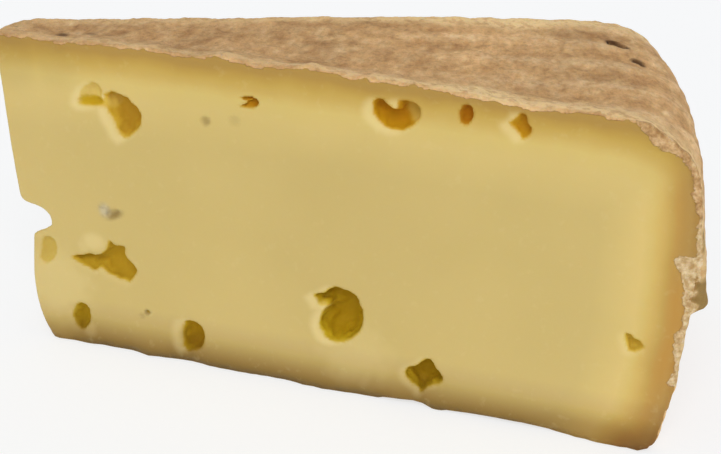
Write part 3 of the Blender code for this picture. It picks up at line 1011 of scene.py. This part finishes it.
# The paste's colours as displayed: deep inside, and by the depth below the top rind, behind the side
# and above the bottom. The band above the bottom is partly the paste's own darkening under the bottom rind
# and partly painted shade where less light reaches the foot of the cut.
PASTE = (207, 183, 114)
TOP_RAMP = rows("""
    0.2,178,142,69 0.7,181,144,68 1.3,188,152,71 1.9,193,158,74 2.9,201,168,83 3.9,206,175,94
    4.9,212,184,105 6,216,191,114 9,215,190,118 16,207,183,114""")
SIDE_RAMP = rows("""
    0.8,172,134,68 1.6,180,143,75 2.6,184,144,72 3.6,192,151,75 4.6,198,163,84 5.6,208,174,95
    6.6,214,183,102 7.6,217,190,112 9,221,194,120 12.5,214,189,117 16,207,183,114""")
UNDER_RIND_AND_SHADE_RAMP = rows("""
    0,108,84,38 0.5,118,93,43 1,130,102,46 1.5,140,111,51 2,148,118,58 3,162,133,71 4,174,147,82
    5,185,159,91 6,194,168,101 7,198,172,107 8,201,176,111 10,207,183,114""")
RAMP_REACH = 16
# Colours of the eyes' walls over their depth, as multiples of the paste's: their own olive and amber,
# growing darker with depth as painted shade in the hollows.
OLIVE_WALL_AND_SHADE = rows("0,0.93,0.86,0.36 0.08,0.81,0.71,0.12 0.2,0.72,0.6,0.02 0.6,0.71,0.57,0 1,0.69,0.54,0")
AMBER_WALL_AND_SHADE = rows("0,0.95,0.76,0.32 0.08,0.86,0.57,0.09 0.2,0.78,0.44,0.01 0.6,0.76,0.37,0 1,0.74,0.34,0")


def shown(table):
    """The rows of a ramp in linear light, from colours as they are displayed."""
    return [(place, *linear(*colour)) for place, *colour in table]


def over_depth(table, base=(1, 1, 1)):
    """The rows of a ramp over the depth, from displayed colours, as multiples of a base."""
    return [(depth / RAMP_REACH, *(c / b for c, b in zip(colour, base)))
            for depth, *colour in shown(table)]


def paste_colour(n):
    depth = n.math("DIVIDE", n.ragged(n.read("rind_depth"), 2, 7), RAMP_REACH)
    top = n.ramp(depth, over_depth(TOP_RAMP))
    side = n.ramp(depth, over_depth(SIDE_RAMP))
    height = n.read("height")
    warm = n.times(n.range(height, 37, 30), n.range(height, 8, 19))
    warm = n.times(warm, n.range(depth, 0.26, 0.12))
    side = n.tint(warm, side, (1.13, 1.03, 0.85))
    colour = n.cover(n.read("side"), top, side)
    # Painted shade: the paste darkens towards the bottom of the cut, partly its own colour under the
    # bottom rind.
    under_shade_height = n.math("DIVIDE", n.read("under_shade_height"), RAMP_REACH)
    colour = n.tint(1, colour, n.ramp(under_shade_height, over_depth(UNDER_RIND_AND_SHADE_RAMP, linear(*PASTE))))
    cloud = n.range(n.noise(22, 2, seed=3.1), 0.3, 0.7)
    colour = n.tint(cloud, colour, (0.965, 0.965, 0.945))
    speck = n.range(n.noise(1.6, 2, seed=1.7), 0.6, 0.78, 0, 0.1)
    colour = n.cover(speck, colour, linear(226, 208, 150))
    # Painted highlight on the eyes' rims and on patches of the cut face, over paste that is partly paler
    # there.
    colour = n.cover(n.times(n.read("pale_and_lit_rim"), 0.5), colour, linear(238, 218, 156))
    # Painted shade: the eyes' walls darken with depth, over their own olive and amber colour.
    deep = n.math("DIVIDE", n.read("eye_depth"), 5)
    olive_and_shade, amber_and_shade = n.ramp(deep, OLIVE_WALL_AND_SHADE), n.ramp(deep, AMBER_WALL_AND_SHADE)
    inside = n.cover(n.read("red"), olive_and_shade, amber_and_shade)
    inside = n.cover(n.read("light"), inside, (0.94, 0.82, 0.24))
    colour = n.tint(n.read("eye_wall"), colour, inside)
    # Dark marks on the cut, with painted shade in its dimples and eye corners.
    colour = n.cover(n.times(n.read("dark_mark_and_shade"), 0.75), colour, linear(118, 92, 44))
    bloom = n.ramp(n.noise(1.6, 2, seed=2.9), shown(rows("0.4,157,142,117 0.6,197,184,148")))
    return n.cover(n.times(n.read("mould"), 0.9), colour, bloom)


RIND_STRETCH = (1, 0.6, 1)
RIND_BASE = rows("0.26,182,135,88 0.42,205,159,107 0.56,219,175,122 0.74,240,203,152")
RIND_GRAIN = rows("0.3,0.74,0.72,0.68 0.5,1,1,1 0.72,1.16,1.17,1.19")
RIND_PATCHES = rows("0.35,0.86,0.84,0.82 0.5,1,1,1 0.65,1.05,1.05,1.05")
# How light the rind is from the tip to the heel.
RIND_LIGHT = rows("0.2,0.97 0.36,1 0.5,1 0.58,1.1 0.66,1.16 0.71,1.12 0.78,0.98 0.85,1.05 0.92,1.14")
CRUMBS_PALE = rows("0.34,190,154,102 0.46,208,177,128 0.58,225,198,152 0.7,238,216,174")
CRUMBS_BROWN = rows("0.34,172,132,84 0.46,196,156,106 0.58,214,176,126 0.7,228,196,148")


def rind_colour(n):
    base = n.ramp(n.noise(3, 4, 0.6, RIND_STRETCH, seed=0.3), shown(RIND_BASE))
    fine = n.ramp(n.noise(1, 3, 0.6, RIND_STRETCH, seed=2.3), RIND_GRAIN)
    colour = n.tint(0.8, base, fine)
    colour = n.tint(1, colour, n.ramp(n.noise(12, 3, seed=5.3), RIND_PATCHES))
    grit = n.range(n.noise(1.2, 2, seed=7.7), 0.42, 0.6)
    coarse = n.range(n.noise(1.7, 2, seed=8.9), 0.36, 0.54)
    # The furrows between the ridges fade out towards the tip with them.
    ridge = n.read("ridge")
    colour = n.tint(n.range(ridge, 0.25, 0, 0, 0.4), colour, (0.84, 0.82, 0.79))
    ridge = n.times(ridge, n.plus(n.times(grit, 0.55), 0.22))
    colour = n.cover(ridge, colour, linear(238, 204, 156))
    along = n.ramp(n.read("along"), [(place, *(light,) * 3) for place, light in RIND_LIGHT])
    colour = n.tint(1, colour, along)
    crumb = n.read("crumb")
    light = n.times(crumb, n.range(coarse, 0, 0.9, 0.38, 0.92))
    colour = n.cover(light, colour, linear(255, 219, 160))
    hollow = n.range(n.noise(1.5, 2, seed=3.9), 0.46, 0.34, 0, 0.15)
    colour = n.cover(n.times(hollow, crumb), colour, linear(150, 108, 66))
    # Painted shade: the flap's front, dark olive as if turned from the light.
    colour = n.cover(n.times(n.read("flap_painted_shade"), 0.9), colour, linear(142, 113, 56))
    return n.cover(n.times(n.read("pit"), 0.95), colour, linear(66, 38, 18))


def crumb_colour(n):
    """The rind where it has crumbled on the cut: pale grains with darker ones between them."""
    grains = n.noise(1, 2, 0.6, seed=11.3)
    pale = n.ramp(grains, shown(CRUMBS_PALE))
    brown = n.ramp(grains, shown(CRUMBS_BROWN))
    return n.cover(n.range(n.read("height"), 41, 47), pale, brown)


def cheese_material():
    material = bpy.data.materials.new("tomme_paste_and_rind")
    n = Nodes(material)
    mask = n.range(n.ragged(n.read("rind"), 0.7, 0.9, 4.1), 0.38, 0.62)
    colour = n.cover(mask, paste_colour(n), rind_colour(n))
    broken = n.read("broken")
    loose = n.range(n.ragged(broken, 1.1, 0.7, 12.1), 0.4, 0.66)
    loose = n.times(loose, n.range(broken, 0.02, 0.2))
    colour = n.cover(loose, colour, crumb_colour(n))
    mask = n.math("MAXIMUM", mask, loose)
    rough = n.range(n.noise(2, 3, seed=6.1), 0.3, 0.7, 0.44, 0.56)
    dry = n.math("MAXIMUM", mask, n.read("eye_wall"))
    grain = n.times(n.noise(0.8, 4, 0.65, seed=8.3), n.plus(n.times(mask, 0.92), 0.08))
    grain = n.plus(grain, n.times(n.noise(3, 2, seed=9.3), 0.1))
    bump = n.add("Bump", {"Strength": 0.8, "Distance": 0.0007, "Height": grain})
    n.surface({
        "Base Color": colour, "Roughness": n.plus(rough, n.times(dry, 0.34)),
        "Normal": bump.outputs["Normal"], "Specular IOR Level": 0.25, "Subsurface Weight": 0.25,
        "Subsurface Radius": (1, 0.62, 0.2), "Subsurface Scale": 0.0025})
    return material


# ---- Stage ----

FLOOR_REACH = 3
FLOOR_DROP = 0.0002
KEY_TOWARDS = (-0.12, 0.75, -0.72)
CAMERA_PLACE = (0.054505, -0.22127, 0.139854)
CAMERA_TURNS = (14.412, 62.196, 2.424)
CAMERA_LENS = 65.575


def make_floor():
    mesh = bpy.data.meshes.new("floor")
    corners = [(x * FLOOR_REACH, y * FLOOR_REACH, 0) for x, y in ((-1, -1), (1, -1), (1, 1), (-1, 1))]
    mesh.from_pydata(corners, [], [(0, 1, 2, 3)])
    floor = add_object("floor", mesh)
    floor.location.z = -FLOOR_DROP
    material = bpy.data.materials.new("pale_floor")
    Nodes(material).surface({
        "Base Color": (0.4, 0.4, 0.4), "Roughness": 0.9, "Specular IOR Level": 0.1,
        "Emission Color": (0.965, 0.98, 1), "Emission Strength": 0.635})
    mesh.materials.append(material)
    return floor


def light_scene():
    world = bpy.data.worlds.new("studio")
    world.use_nodes = True
    background = world.node_tree.nodes["Background"]
    background.inputs["Color"].default_value = (1, 1, 1, 1)
    background.inputs["Strength"].default_value = 0.49
    bpy.context.scene.world = world
    light = bpy.data.lights.new("key", "SUN")
    light.energy = 1.34
    light.angle = math.radians(40)
    light.color = (1, 0.99, 0.97)
    key = add_object("key", light)
    key.rotation_euler = Vector(KEY_TOWARDS).to_track_quat("-Z", "Y").to_euler()


def add_camera():
    camera = add_object("camera", bpy.data.cameras.new("camera"))
    camera.data.sensor_width = 36
    camera.data.lens = CAMERA_LENS
    camera.data.clip_start = 0.01
    first, lean, roll = [math.radians(angle) for angle in CAMERA_TURNS]
    turn = Matrix.Rotation(first, 4, "Z") @ Matrix.Rotation(lean, 4, "X") @ Matrix.Rotation(roll, 4, "Z")
    camera.matrix_world = Matrix.Translation(CAMERA_PLACE) @ turn
    bpy.context.scene.camera = camera


def main():
    bpy.context.scene.view_settings.view_transform = "Standard"
    cheese = make_cheese()
    cheese.data.materials.append(cheese_material())
    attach(cheese, "root")
    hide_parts("tomme_wedge")
    make_floor()
    light_scene()
    add_camera()


main()
